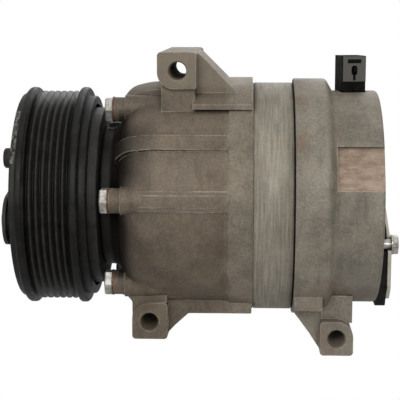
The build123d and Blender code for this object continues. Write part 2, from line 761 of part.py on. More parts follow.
with BuildPart() as seal_snap_ring:
    disc((1.4, 2.9), 12.95, 10.8)
    with BuildSketch(Plane.YZ.offset(1.0)) as seal_gap:
        with Locations((0, -12.0)):
            Rectangle(5.0, 6.0)
    extrude(seal_gap.sketch, amount=3.0, mode=Mode.SUBTRACT)
save(seal_snap_ring, "seal_snap_ring")

with BuildPart() as front_shaft_bearing:
    disc((14.0, 34.0), 11.0, SHAFT_R + 0.04)
save(front_shaft_bearing, "front_shaft_bearing")

with BuildPart() as rear_shaft_bearing:
    disc((98.0, 114.0), 11.0, SHAFT_R + 0.04)
save(rear_shaft_bearing, "rear_shaft_bearing")

with BuildPart() as lug_thrust_bearing:
    disc((41.0, 43.2), 26.0, 12.0)
save(lug_thrust_bearing, "lug_thrust_bearing")

with BuildPart() as lug_plate:
    disc(LUG_X, 37.0)
    disc((LUG_X[1], 53.0), 12.5)
    slab(
        (-4.0, 4.0),
        (LUG_X[0] + 0.6, 17.0),
        (LUG_X[0] + 0.6, 36.0),
        (60.0, 34.0, 4.0),
        (68.0, 32.4, 3.0),
        (68.0, 23.0, 3.0),
        (56.0, 18.0, 4.0),
    )
    with BuildSketch(Plane.XZ.offset(6.0)) as lug_slot:
        with Locations(((LUG_PIN_X + 53.0) / 2, LUG_PIN_Z)):
            SlotCenterToCenter(LUG_PIN_X - 53.0, 2 * LUG_PIN_R + 0.6)
    extrude(lug_slot.sketch, amount=-12.0, mode=Mode.SUBTRACT)
    disc((LUG_X[0], 53.0), SHAFT_R, mode=Mode.SUBTRACT)
save(lug_plate, "lug_plate")

with BuildPart() as return_spring:
    with BuildLine() as coil_line:
        Helix(pitch=3.1, height=16.8, radius=10.6, center=(54.1, 0, 0), direction=(1, 0, 0))
    with BuildSketch(Plane(coil_line.wire() @ 0, z_dir=coil_line.wire() % 0)):
        Circle(0.7)
    sweep(path=coil_line.wire())
save(return_spring, "return_spring")

# ==== sliding sleeve, wobble plate and pistons ====

with BuildPart() as swash_journal:
    turned(
        (72.0, 8.35),
        (72.0, 12.2),
        (74.0, 12.2),
        (74.0, 19.0),
        (79.4, 19.0),
        (79.4, 16.6),
        (90.4, 16.6),
        (90.4, 8.35),
    )
    for y_range in ((-8.6, -4.4), (4.4, 8.6)):
        slab(
            y_range,
            (61.4, 25.0, 2.5),
            (61.4, 31.4, 2.5),
            (68.0, 31.4, 2.5),
            (79.4, 17.5),
            (79.4, 10.5),
            (74.0, 10.5),
        )
    cross_bore((LUG_PIN_X, LUG_PIN_Z), LUG_PIN_R, (-9.0, 9.0))
save(swash_journal, "swash_journal")

with BuildPart() as lug_pin:
    with BuildSketch(Plane.XZ.offset(9.6)) as pin_end:
        with Locations((LUG_PIN_X, LUG_PIN_Z)):
            Circle(LUG_PIN_R)
    extrude(pin_end.sketch, amount=-19.2)
save(lug_pin, "lug_pin")

with BuildPart() as journal_thrust_bearing:
    disc((79.4, 80.7), 25.0, 16.8)
save(journal_thrust_bearing, "journal_thrust_bearing")

with BuildPart() as wobble_plate:
    turned(
        (WOBBLE_X[0], 17.0),
        (WOBBLE_X[0], 30.0),
        (WOBBLE_X[0] + 1.5, WOBBLE_R, 1.0),
        (WOBBLE_X[1], WOBBLE_R, 1.0),
        (WOBBLE_X[1], 24.0, 2.0),
        (WOBBLE_X[1] - 1.5, 17.0),
    )
    with BuildSketch(Plane.YZ.offset(WOBBLE_X[0] + 2.0)) as guide_ear:
        with Locations((0, GUIDE_Z + 3.0)):
            RectangleRounded(15.0, 17.0, 3.0)
    extrude(guide_ear.sketch, amount=6.5)
    disc((WOBBLE_X[0], WOBBLE_X[1]), 5.0, at=(0.0, GUIDE_Z), mode=Mode.SUBTRACT)
    for angle in PISTON_ANGLES:
        y, z = place(angle, BORE_PITCH_R)
        with Locations((WOBBLE_BALL_X, y, z)):
            Sphere(BALL_END_R + 0.02, mode=Mode.SUBTRACT)
        disc((WOBBLE_BALL_X + 2.0, WOBBLE_X[1] + 0.1), 4.6, at=(y, z), mode=Mode.SUBTRACT)
save(wobble_plate, "wobble_plate")

with BuildPart() as guide_slider:
    disc((WOBBLE_X[0] + 0.6, WOBBLE_X[0] + 9.0), 4.95, GUIDE_R + 0.05, at=(0.0, GUIDE_Z))
save(guide_slider, "guide_slider")

with BuildPart() as guide_pin:
    disc((38.1, 101.8), GUIDE_R, at=(0.0, GUIDE_Z))
save(guide_pin, "guide_pin")

for number, angle in enumerate(PISTON_ANGLES, 1):
    y, z = place(angle, BORE_PITCH_R)

    with BuildPart() as piston:
        disc(PISTON_X, PISTON_R, at=(y, z))
        chamfer(piston.edges().filter_by(GeomType.CIRCLE), length=0.5)
        disc((121.0, 123.4), 18.0, 16.3, at=(y, z), mode=Mode.SUBTRACT)
        disc((PISTON_X[0], PISTON_BALL_X - 3.0), 13.0, at=(y, z), mode=Mode.SUBTRACT)
        with Locations((PISTON_BALL_X, y, z)):
            Sphere(BALL_END_R + 0.02, mode=Mode.SUBTRACT)
        disc((PISTON_BALL_X - 3.1, PISTON_BALL_X - 1.0), 4.9, at=(y, z), mode=Mode.SUBTRACT)
    save(piston, "piston_" + str(number))

    with BuildPart() as rod:
        with BuildSketch(Plane((0, y, z), x_dir=(1, 0, 0), z_dir=(0, -1, 0))) as rod_half:
            with Locations((WOBBLE_BALL_X, 0), (PISTON_BALL_X, 0)):
                Circle(BALL_END_R)
            with Locations(((WOBBLE_BALL_X + PISTON_BALL_X) / 2, 0)):
                Rectangle(PISTON_BALL_X - WOBBLE_BALL_X, 6.2)
                Rectangle(40.0, 12.0, align=(Align.CENTER, Align.MAX), mode=Mode.SUBTRACT)
        revolve(rod_half.sketch, axis=Axis((0, y, z), (1, 0, 0)))
    save(rod, "piston_rod_" + str(number))

# ==== fittings of the rear head ====

with BuildPart() as control_valve:
    disc((160.0, 178.0), 6.6, at=VALVE_AT)
    disc((173.4, 176.6), 8.4, at=VALVE_AT)
    disc((162.0, 165.0), 8.3, at=VALVE_AT)
    disc((168.0, 171.0), 8.3, at=VALVE_AT)
save(control_valve, "control_valve")

with BuildPart() as relief_valve:
    disc((164.0, HEAD_END), 4.9, at=RELIEF_AT)
    hexagon((HEAD_END, HEAD_END + 3.4), 12.0, at=RELIEF_AT)
    disc((HEAD_END + 3.4, HEAD_END + 5.4), 4.2, at=RELIEF_AT)
    disc((HEAD_END + 2.0, HEAD_END + 5.5), 1.6, at=RELIEF_AT, mode=Mode.SUBTRACT)
save(relief_valve, "relief_valve")

with BuildPart() as port_seal_block:
    outline(
        (PORT_BOSS_FACE, PORT_SEAL_FACE),
        (10.0, -20.6, 3.0),
        (1.4, -33.0, 2.0),
        (1.4, -54.0, 8.0),
        (10.0, -66.8, 5.0),
        (40.0, -66.8, 12.0),
        (48.0, -40.0, 12.0),
        (48.0, -13.0, 6.0),
        (34.0, -12.0, 6.0),
    )
    disc((PORT_BOSS_FACE, PORT_SEAL_FACE), 4.2, at=PORT_BOLT, mode=Mode.SUBTRACT)
save(port_seal_block, "port_seal_block")

with BuildPart() as port_cover_plate:
    outline(
        (PORT_SEAL_FACE, PORT_PLATE_FACE),
        (9.0, -24.6, 1.0),
        (9.0, -31.6),
        (-0.8, -31.6, 1.0),
        (-0.6, -54.0, 6.0),
        (8.0, -62.0, 6.0),
        (36.0, -62.0, 14.0),
        (46.0, -36.0, 14.0),
        (46.0, -12.0, 5.0),
        (34.0, -12.0, 5.0),
    )
    disc((PORT_SEAL_FACE, PORT_PLATE_FACE), PORT_BOLT_R + 0.3, at=PORT_BOLT, mode=Mode.SUBTRACT)
save(port_cover_plate, "port_cover_plate")

with BuildPart() as port_cover_bolt:
    disc((162.0, PORT_PLATE_FACE), PORT_BOLT_R, at=PORT_BOLT)
    disc((PORT_PLATE_FACE, PORT_PLATE_FACE + 1.0), 5.8, at=PORT_BOLT)
    hexagon((PORT_PLATE_FACE + 1.0, PORT_PLATE_FACE + 4.0), 10.0, at=PORT_BOLT)
    fillet(port_cover_bolt.faces().sort_by(Axis.X)[-1].edges(), radius=0.6)
save(port_cover_bolt, "port_cover_bolt")

panel_reach = CONNECTOR_SIZE[1] / 2 + PANEL_T
turn = radians(CONNECTOR_TURN)
connector_front = Plane(
    (
        CONNECTOR_AT[0] + panel_reach * sin(turn),
        CONNECTOR_AT[1] - panel_reach * cos(turn),
        CONNECTOR_TOP,
    ),
    x_dir=(cos(turn), sin(turn), 0),
    z_dir=(sin(turn), -cos(turn), 0),
)
with BuildPart() as connector_body:
    with BuildSketch(CONNECTOR_PLANE):
        Rectangle(*CONNECTOR_SIZE)
    extrude(amount=CONNECTOR_TOP - CONNECTOR_BASE)
    chamfer(connector_body.edges().filter_by(Axis.Z), length=0.5)
    # the front panel, then its blank plate, its latch window and the rib below the window
    with BuildSketch(connector_front):
        with Locations((0, -7.2)):
            Rectangle(13.0, 14.0)
    extrude(amount=-PANEL_T - 0.1)
    with BuildSketch(connector_front):
        with Locations((0, -3.0)):
            Rectangle(7.8, 2.2)
    extrude(amount=-0.4, mode=Mode.SUBTRACT)
    with BuildSketch(connector_front):
        with Locations((0, -8.1)):
            RectangleRounded(3.4, 5.4, 1.5)
    extrude(amount=-3.0, mode=Mode.SUBTRACT)
    with BuildSketch(connector_front.offset(-2.2)):
        with Locations((0.5, -7.6)):
            Rectangle(1.6, 2.8)
    extrude(amount=1.8)
    with BuildSketch(connector_front):
        with Locations((0, -12.2)):
            Rectangle(1.5, 2.8)
    extrude(amount=-0.5, mode=Mode.SUBTRACT)
    with BuildSketch(connector_front.offset(-PANEL_T)):
        with Locations((0.6, -18.0)):
            Circle(1.5)
    extrude(amount=1.4)
    # the open socket at the top and the sensor's stem
    with BuildSketch(CONNECTOR_PLANE.offset(CONNECTOR_TOP - CONNECTOR_BASE - 8.0)):
        with Locations((0, 1.4)):
            RectangleRounded(9.4, 10.4, 1.5)
    extrude(amount=9.0, mode=Mode.SUBTRACT)
    with BuildSketch(Plane.XY.offset(47.0)):
        with Locations(CONNECTOR_AT):
            Circle(3.4)
    extrude(amount=CONNECTOR_BASE - 47.0)
save(connector_body, "connector_body")

with BuildPart() as connector_terminals:
    with BuildSketch(CONNECTOR_PLANE.offset(CONNECTOR_TOP - CONNECTOR_BASE - 8.0)):
        with Locations((-2.2, 1.4), (2.2, 1.4)):
            Rectangle(0.8, 2.4)
    extrude(amount=6.0)
save(connector_terminals, "connector_terminals")

with BuildPart() as oil_plug:
    with BuildSketch(Plane.XZ.offset(-54.0)):
        with Locations((84.0, -20.0)):
            Circle(3.95)
    extrude(amount=-9.0)
    with BuildSketch(Plane.XZ.offset(-63.0)):
        with Locations((84.0, -20.0)):
            RegularPolygon(6.0, 6, major_radius=False)
    extrude(amount=-4.0)
save(oil_plug, "oil_plug")
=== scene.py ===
import json
from math import cos, radians, sin, tau

import bpy
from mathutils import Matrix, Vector


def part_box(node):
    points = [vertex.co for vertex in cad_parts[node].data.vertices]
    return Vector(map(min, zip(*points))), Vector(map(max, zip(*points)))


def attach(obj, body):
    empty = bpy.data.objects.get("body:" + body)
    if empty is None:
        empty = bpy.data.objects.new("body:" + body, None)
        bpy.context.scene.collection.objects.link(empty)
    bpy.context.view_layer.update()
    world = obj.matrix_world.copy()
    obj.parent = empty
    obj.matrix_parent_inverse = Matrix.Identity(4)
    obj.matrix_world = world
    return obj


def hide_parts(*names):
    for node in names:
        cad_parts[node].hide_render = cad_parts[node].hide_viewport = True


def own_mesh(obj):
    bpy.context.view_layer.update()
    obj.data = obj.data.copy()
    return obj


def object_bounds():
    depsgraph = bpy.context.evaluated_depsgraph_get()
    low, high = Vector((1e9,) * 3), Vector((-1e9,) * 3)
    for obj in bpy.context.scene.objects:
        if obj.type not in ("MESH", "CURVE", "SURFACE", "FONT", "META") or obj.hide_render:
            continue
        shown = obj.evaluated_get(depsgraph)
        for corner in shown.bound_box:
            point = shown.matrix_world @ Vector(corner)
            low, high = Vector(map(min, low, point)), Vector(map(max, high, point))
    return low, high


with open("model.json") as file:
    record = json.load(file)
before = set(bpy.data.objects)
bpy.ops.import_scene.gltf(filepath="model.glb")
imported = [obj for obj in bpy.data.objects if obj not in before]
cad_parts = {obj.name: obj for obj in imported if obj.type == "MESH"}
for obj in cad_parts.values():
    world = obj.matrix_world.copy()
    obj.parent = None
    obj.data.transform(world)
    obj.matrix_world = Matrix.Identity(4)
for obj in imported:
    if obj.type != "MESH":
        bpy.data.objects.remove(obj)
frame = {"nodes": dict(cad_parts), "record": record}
nodes = frame["nodes"]
cad_low, cad_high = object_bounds()
scene = bpy.context.scene
scene.view_settings.view_transform = "Standard"

MM = 0.001
WELD_GAP = 0.002 * MM

# Where the paint changes, in mm, off the part's own shapes
# NECK_R and COLLARS_REAR_X bound the painted shadow on the housing's neck
NECK_R = 45.5
COLLARS_REAR_X = 36.2
BAND_X = 96.0
BROWN_PANEL = {"Z": (10.7, 33.0), "X": (153.5, 179.5), "Y": (-70.0, -45.0)}
BELT_X = (-12.5, 12.5)
PULLEY_CREST_R = 59.2
ARMATURE_R = 57.5
CHIPPED = {"Z": (24.0, 50.0), "X": (-20.6, -17.2)}
CONNECTOR_TURN = radians(11.0)
CONNECTOR_FRONT = 38.8  # from the axis along the connector's front normal
CONNECTOR_PANEL_Z = (65.2, 81.2)


# ==== colours and node helpers ====


def colour(code):
    """A linear RGBA colour from a six-digit sRGB code."""
    parts = [int(code[i : i + 2], 16) / 255 for i in (0, 2, 4)]
    return [p / 12.92 if p <= 0.04045 else ((p + 0.055) / 1.055) ** 2.4 for p in parts] + [1.0]


class Look:
    """A material being built: its node tree, its Principled shader, and short ways to add nodes."""

    def __init__(self, name, base, roughness=0.5, metallic=0.0, shine=0.5):
        self.material = bpy.data.materials.new(name)
        self.material.use_nodes = True
        self.tree = self.material.node_tree
        self.shader = self.tree.nodes["Principled BSDF"]
        self.shader.inputs["Base Color"].default_value = colour(base)
        self.shader.inputs["Roughness"].default_value = roughness
        self.shader.inputs["Metallic"].default_value = metallic
        self.shader.inputs["Specular IOR Level"].default_value = shine
        self.place = self.add("ShaderNodeTexCoord").outputs["Object"]

    def add(self, kind, **settings):
        node = self.tree.nodes.new(kind)
        for key, value in settings.items():
            setattr(node, key, value)
        return node

    def link(self, source, target):
        self.tree.links.new(source, target)

    def noise(self, scale, detail=4.0, roughness=0.55, stretch=(1, 1, 1), offset=0.0):
        """Noise over the object's own space. scale is in features per metre."""
        mapping = self.add("ShaderNodeMapping")
        mapping.inputs["Location"].default_value = (offset, offset * 0.7, offset * 1.3)
        mapping.inputs["Scale"].default_value = stretch
        self.link(self.place, mapping.inputs["Vector"])
        node = self.add("ShaderNodeTexNoise")
        node.inputs["Scale"].default_value = scale
        node.inputs["Detail"].default_value = detail
        node.inputs["Roughness"].default_value = roughness
        self.link(mapping.outputs[0], node.inputs["Vector"])
        return node.outputs["Fac"]

    def ramp(self, source, *stops):
        """A colour ramp through (position, sRGB code or grey level) stops."""
        node = self.add("ShaderNodeValToRGB")
        elements = node.color_ramp.elements
        while len(elements) < len(stops):
            elements.new(0.5)
        for element, (position, value) in zip(elements, stops):
            element.position = position
            element.color = colour(value) if isinstance(value, str) else (value, value, value, 1)
        self.link(source, node.inputs["Fac"])
        return node.outputs["Color"]

    def mix(self, factor, a, b, blend="MIX"):
        """Mixes two colours. Each of a and b is a socket or an sRGB code."""
        node = self.add("ShaderNodeMix", data_type="RGBA", blend_type=blend)
        sockets = {socket.identifier: socket for socket in node.inputs}
        for key, value in (("Factor_Float", factor), ("A_Color", a), ("B_Color", b)):
            if isinstance(value, str):
                sockets[key].default_value = colour(value)
            elif isinstance(value, (int, float)):
                sockets[key].default_value = value
            else:
                self.link(value, sockets[key])
        return node.outputs[2]

    def math(self, operation, a, b=0.0):
        """A Math node. Each of a and b is a socket or a number."""
        node = self.add("ShaderNodeMath", operation=operation)
        for i, value in enumerate((a, b)):
            if isinstance(value, (int, float)):
                node.inputs[i].default_value = value
            else:
                self.link(value, node.inputs[i])
        return node.outputs[0]

    def radius(self):
        """The distance from the shaft axis, in metres."""
        parts = self.add("ShaderNodeSeparateXYZ")
        self.link(self.place, parts.inputs[0])
        squares = [self.math("MULTIPLY", parts.outputs[key], parts.outputs[key]) for key in "YZ"]
        return self.math("SQRT", self.math("ADD", *squares))

    def axis(self, name):
        """The place along one axis, in metres."""
        parts = self.add("ShaderNodeSeparateXYZ")
        self.link(self.place, parts.inputs[0])
        return parts.outputs[name]

    def crevice(self, distance):
        """0 in a recess of about this depth in metres, 1 on an open surface."""
        node = self.add("ShaderNodeAmbientOcclusion", samples=6)
        node.inputs["Distance"].default_value = distance
        return node.outputs["AO"]

    def edges(self, width):
        """1 along sharp edges, within about this width in metres, 0 on open faces."""
        rounded = self.add("ShaderNodeBevel", samples=6)
        rounded.inputs["Radius"].default_value = width
        flat = self.add("ShaderNodeNewGeometry")
        across = self.add("ShaderNodeVectorMath", operation="DOT_PRODUCT")
        self.link(rounded.outputs[0], across.inputs[0])
        self.link(flat.outputs["Normal"], across.inputs[1])
        return self.ramp(self.math("SUBTRACT", 1.0, across.outputs["Value"]), (0.015, 0.0), (0.12, 1.0))

    def fade(self, source, *stops):
        """A ramp over a length, with its stops in mm."""
        return self.ramp(source, *((position * MM, value) for position, value in stops))

    def inside(self, **spans):
        """1 where every axis named, such as X=(0, 10), lies between its two places in mm, 0 elsewhere."""
        mask = None
        for axis, (low, high) in spans.items():
            place = self.axis(axis)
            above = self.math("GREATER_THAN", place, low * MM)
            held = self.math("MULTIPLY", above, self.math("LESS_THAN", place, high * MM))
            mask = self.math("MULTIPLY", mask, held) if mask else held
        return mask

    def bumps(self, *layers, bevel=0.0):
        """Stacks (height, distance in metres, strength) bumps, over edges rounded by bevel in metres."""
        normal = None
        if bevel:
            node = self.add("ShaderNodeBevel", samples=4)
            node.inputs["Radius"].default_value = bevel
            normal = node.outputs[0]
        for height, distance, strength in layers:
            node = self.add("ShaderNodeBump")
            node.inputs["Distance"].default_value = distance
            node.inputs["Strength"].default_value = strength
            self.link(height, node.inputs["Height"])
            if normal:
                self.link(normal, node.inputs["Normal"])
            normal = node.outputs[0]
        self.link(normal, self.shader.inputs["Normal"])

    def paint(self, **sockets):
        """Links sockets of the Principled shader, such as Base_Color=..., to node outputs."""
        for key, source in sockets.items():
            self.link(source, self.shader.inputs[key.replace("_", " ")])


# ==== materials ====


def cast_aluminium(name, tones, stain, grain=1.0, offset=0.0, zone=None):
    """Old die-cast aluminium: mottled grey-brown, oily stains, painted shade in the corners, edges lightened
    by rubbing and as painted highlights, and a fine grain.

    tones is the light, middle and dark colour. zone adds colour to one part: a function of the look and base.
    """
    light, mid, dark = tones
    look = Look(name, mid, 0.6, 0.35)
    broad = look.noise(22, 5, 0.6, offset=offset)
    cloudy = look.noise(95, 6, 0.62, offset=offset + 3)
    fine = look.noise(900, 3, 0.7, offset=offset + 7)
    base = look.ramp(broad, (0.4, dark), (0.5, mid), (0.6, light))
    mottled = look.mix(0.5, base, look.ramp(cloudy, (0.4, dark), (0.5, mid), (0.62, light)))
    speckled = look.mix(0.4, mottled, look.ramp(fine, (0.38, dark), (0.62, light)))
    blots = look.ramp(look.noise(34, 7, 0.66, offset=offset + 11), (0.54, 0.0), (0.68, 0.75))
    stained = look.mix(blots, speckled, stain)
    runs = look.noise(60, 5, 0.6, stretch=(2.4, 1, 0.5), offset=offset + 17)
    streaked = look.mix(look.ramp(runs, (0.55, 0.0), (0.72, 0.4)), stained, "4a443a")
    toned = zone(look, streaked) if zone else streaked
    # painted shade: recesses and crevices are darkened through the ambient occlusion mask
    crevice_shade = look.ramp(look.crevice(6 * MM), (0.25, "2e2822"), (0.8, "ffffff"))
    crevice_shaded = look.mix(0.65, toned, crevice_shade, blend="MULTIPLY")
    # edges lightened by rubbing and also as painted highlights along rib and band edges
    lightened = look.math("MULTIPLY", look.edges(0.9 * MM), look.ramp(cloudy, (0.44, 0.2), (0.58, 0.85)))
    look.paint(Base_Color=look.mix(lightened, crevice_shaded, "bdb5a2"))
    look.paint(Roughness=look.ramp(cloudy, (0.25, 0.46), (0.75, 0.7)))
    look.bumps(
        (look.noise(1700, 3, 0.6, offset=offset), 0.12 * MM, 0.55 * grain),
        (look.noise(420, 4, 0.6, offset=offset), 0.3 * MM, 0.5 * grain),
        (look.noise(60, 3, 0.5, offset=offset), 0.8 * MM, 0.35 * grain),
        bevel=0.6 * MM,
    )
    return look.material


def shaded_neck(look, base):
    """The front housing: painted shadow of the pulley over its neck and front, darker on the barrel, paler on
    the upper ear.
    """
    x, z, radius = look.axis("X"), look.axis("Z"), look.radius()
    # painted shadow of the pulley: the neck and the shoulder near the axis darken towards black
    neck_shadow = look.fade(radius, (45, "1d1a17"), (53, "57524c"), (61.5, "ffffff"))
    behind = look.math("GREATER_THAN", x, COLLARS_REAR_X * MM)
    neck = look.math("LESS_THAN", radius, NECK_R * MM)
    neck_shaded = look.mix(1.0, base, neck_shadow, blend="MULTIPLY")
    marked = look.mix(look.math("MAXIMUM", behind, neck), base, neck_shaded)
    # painted shadow: the front of the housing, above and below the axis, is blackened
    above = look.fade(z, (12, 0.0), (18, 0.9), (41, 0.9), (47, 0.0))
    depth = look.math("MULTIPLY", z, -1.0)
    below = look.fade(depth, (2, 0.0), (8, 0.8), (36, 0.8), (42, 0.0))
    upper = look.math("MULTIPLY", above, look.fade(x, (40, 1.0), (59, 0.0)))
    lower = look.math("MULTIPLY", below, look.fade(x, (38, 1.0), (48, 0.0)))
    front_shadowed = look.mix(look.math("MAXIMUM", upper, lower), marked, "1f1b18")
    paler = look.mix(look.fade(z, (60, 0.0), (66, 0.3)), front_shadowed, "b0ab9c")
    barrel = look.fade(x, (BAND_X - 0.2, "dcd6d0"), (BAND_X + 0.8, "ffffff"))
    return look.mix(1.0, paler, barrel, blend="MULTIPLY")


def turned_bands(look, base):
    """The cylinder block: fine marks around it, left by turning."""
    lines = look.noise(420, 3, 0.6, stretch=(3, 0.12, 0.12))
    return look.mix(0.35, base, look.ramp(lines, (0.36, "6a6459"), (0.64, "b1aa9b")))


def brown_panel(look, base):
    """The rear head: its recessed panel is bare and brown."""
    inside = look.inside(**BROWN_PANEL)
    grain = look.noise(150, 6, 0.7, stretch=(0.7, 1, 1.8), offset=4.0)
    brown = look.ramp(grain, (0.4, "86705f"), (0.6, "ac9682"))
    return look.mix(look.math("MULTIPLY", inside, 0.8), base, brown)


def machined_metal(name, light, dark, roughness):
    """Turned or ground metal with fine tool lines about the shaft axis."""
    look = Look(name, light, roughness, 0.85)
    lines = look.noise(260, 3, 0.5, stretch=(14, 1, 1))
    smudge = look.noise(60, 4, 0.6)
    look.paint(Base_Color=look.ramp(smudge, (0.3, dark), (0.7, light)))
    look.paint(Roughness=look.ramp(lines, (0.3, roughness * 0.8), (0.7, roughness * 1.35)))
    look.bumps((lines, 0.04 * MM, 0.3), bevel=0.2 * MM)
    return look.material


def zinc_steel(name):
    """Bright zinc-plated fasteners with dull patches."""
    look = Look(name, "b9b7b2", 0.36, 0.75)
    patches = look.noise(240, 5, 0.65)
    dull = look.ramp(patches, (0.42, "c6c4bf"), (0.56, "a9a59d"), (0.72, "7d776c"))
    # painted shade: crevices around heads and washers are darkened
    crevice_shade = look.ramp(look.crevice(2.5 * MM), (0.25, "3b352d"), (0.8, "ffffff"))
    look.paint(Base_Color=look.mix(0.85, dull, crevice_shade, blend="MULTIPLY"))
    look.paint(Roughness=look.ramp(patches, (0.35, 0.26), (0.7, 0.55)))
    look.bumps((look.noise(1500, 3), 0.03 * MM, 0.4), bevel=0.35 * MM)
    return look.material


def tarnished_copper(name):
    """Sealing washers of copper gone brown and rusty."""
    look = Look(name, "7c4a35", 0.55, 0.6)
    spots = look.noise(420, 5, 0.65)
    look.paint(Base_Color=look.ramp(spots, (0.3, "3a2a22"), (0.5, "6a4636"), (0.7, "957060")))
    look.bumps((spots, 0.08 * MM, 0.4), bevel=0.2 * MM)
    return look.material


def pulley_coating(name):
    """Black coated steel with dust, painted shade in the grooves, and worn brown-grey along the crests by the
    belt.
    """
    look = Look(name, "171615", 0.42, 0.0, shine=0.2)
    dust = look.noise(140, 6, 0.68)
    fine = look.noise(1300, 3, 0.6)
    base = look.ramp(dust, (0.34, "0b0b0a"), (0.52, "141311"), (0.74, "272420"))
    speck = look.mix(look.ramp(fine, (0.6, 0.0), (0.76, 0.35)), base, "4d4539")
    tips = look.fade(look.radius(), (PULLEY_CREST_R - 0.5, 0.0), (PULLEY_CREST_R, 1.0))
    crest = look.math("MULTIPLY", tips, look.inside(X=BELT_X))
    worn = look.math("MULTIPLY", crest, look.ramp(look.noise(320, 4, 0.6), (0.38, 0.35), (0.62, 0.95)))
    lightened = look.mix(worn, speck, "5c554b")
    lip = look.math("MULTIPLY", look.edges(0.5 * MM), look.ramp(dust, (0.4, 0.1), (0.62, 0.55)))
    lipped = look.mix(lip, lightened, "544e46")
    # painted shade: grooves and crevices are darkened nearly to black
    crevice_shade = look.ramp(look.crevice(3 * MM), (0.25, "030303"), (0.85, "ffffff"))
    look.paint(Base_Color=look.mix(0.9, lipped, crevice_shade, blend="MULTIPLY"))
    look.paint(Roughness=look.ramp(dust, (0.3, 0.32), (0.7, 0.55)))
    look.bumps((fine, 0.05 * MM, 0.4), (look.noise(300, 4), 0.06 * MM, 0.3), bevel=0.3 * MM)
    return look.material


def dark_steel(name, base="232321", edge="4d4a45", roughness=0.45):
    """Phosphated steel, nearly black, with light rubbing."""
    look = Look(name, base, roughness, 0.2, shine=0.3)
    rub = look.noise(180, 5, 0.65)
    look.paint(Base_Color=look.ramp(rub, (0.4, base), (0.75, edge)))
    look.paint(Roughness=look.ramp(rub, (0.3, roughness * 0.8), (0.7, roughness * 1.3)))
    look.bumps((look.noise(1400, 3), 0.04 * MM, 0.4), bevel=0.25 * MM)
    return look.material


def armature_steel(name):
    """The armature: black, with its rim chipped to bare grey metal on one side."""
    look = Look(name, "1a1918", 0.45, 0.0, shine=0.3)
    rub = look.noise(150, 5, 0.65)
    black = look.ramp(rub, (0.35, "131312"), (0.7, "2c2925"))
    rim = look.fade(look.radius(), (ARMATURE_R - 3.0, 0.0), (ARMATURE_R, 1.0))
    chips = look.ramp(look.noise(330, 6, 0.7, stretch=(3, 1, 1), offset=2.0), (0.47, 0.0), (0.56, 0.85))
    bare = look.math("MULTIPLY", look.math("MULTIPLY", rim, chips), look.inside(**CHIPPED))
    look.paint(Base_Color=look.mix(bare, black, "8d8981"))
    look.paint(Roughness=look.ramp(rub, (0.3, 0.36), (0.7, 0.6)))
    look.bumps((look.noise(900, 3), 0.06 * MM, 0.4), bevel=0.3 * MM)
    return look.material


def rubber(name):
    """Black rubber with a grey bloom."""
    look = Look(name, "141413", 0.7, shine=0.25)
    bloom = look.noise(160, 5, 0.6)
    look.paint(Base_Color=look.ramp(bloom, (0.35, "141413"), (0.75, "23221f")))
    look.bumps((look.noise(1200, 3), 0.05 * MM, 0.4), bevel=0.3 * MM)
    return look.material


def connector_face(look, base):
    """The connector: the raised panel on its front has gone grey."""
    along = look.math("MULTIPLY", look.axis("X"), sin(CONNECTOR_TURN))
    across = look.math("MULTIPLY", look.axis("Y"), -cos(CONNECTOR_TURN))
    front = look.math("GREATER_THAN", look.math("ADD", along, across), CONNECTOR_FRONT * MM)
    grey = look.math("MULTIPLY", front, look.inside(Z=CONNECTOR_PANEL_Z))
    return look.mix(grey, base, "5d5c57")


def moulded_plastic(name, base, light, roughness=0.48, zone=None):
    """Moulded plastic with a fine grain and a little dust. zone is as in cast_aluminium."""
    look = Look(name, base, roughness, shine=0.03)
    dust = look.noise(220, 5, 0.62)
    marked = look.ramp(dust, (0.4, base), (0.72, light))
    look.paint(Base_Color=zone(look, marked) if zone else marked)
    look.paint(Roughness=look.ramp(dust, (0.3, roughness * 0.85), (0.7, roughness * 1.25)))
    look.bumps((look.noise(2600, 2), 0.03 * MM, 0.45), bevel=0.2 * MM)
    return look.material


def cream_coating(name):
    """Cream paint, marked by handling."""
    look = Look(name, "c9c6b6", 0.5, 0.1)
    marks = look.noise(130, 6, 0.65)
    base = look.ramp(marks, (0.3, "b3af9d"), (0.55, "cbc8b9"), (0.75, "d8d5c8"))
    look.paint(Base_Color=base)
    look.paint(Roughness=look.ramp(marks, (0.3, 0.4), (0.7, 0.6)))
    look.bumps((look.noise(800, 3), 0.05 * MM, 0.3), bevel=0.3 * MM)
    return look.material


def wound_copper(name):
    """Varnished copper wire, wound about the shaft axis."""
    look = Look(name, "6d3521", 0.4, 0.5)
    turns = look.noise(900, 2, 0.4, stretch=(1, 0.2, 0.2))
    look.paint(Base_Color=look.ramp(turns, (0.35, "4e2315"), (0.65, "94502f")))
    look.bumps((turns, 0.15 * MM, 0.6))
    return look.material


def brass(name):
    """Turned brass gone dull in patches."""
    look = Look(name, "a98a4a", 0.35, 0.9)
    tarnish = look.noise(180, 5, 0.6)
    look.paint(Base_Color=look.ramp(tarnish, (0.35, "7d6433"), (0.7, "b99a58")))
    look.paint(Roughness=look.ramp(tarnish, (0.3, 0.28), (0.7, 0.5)))
    look.bumps((look.noise(1200, 3), 0.03 * MM, 0.3), bevel=0.25 * MM)
    return look.material


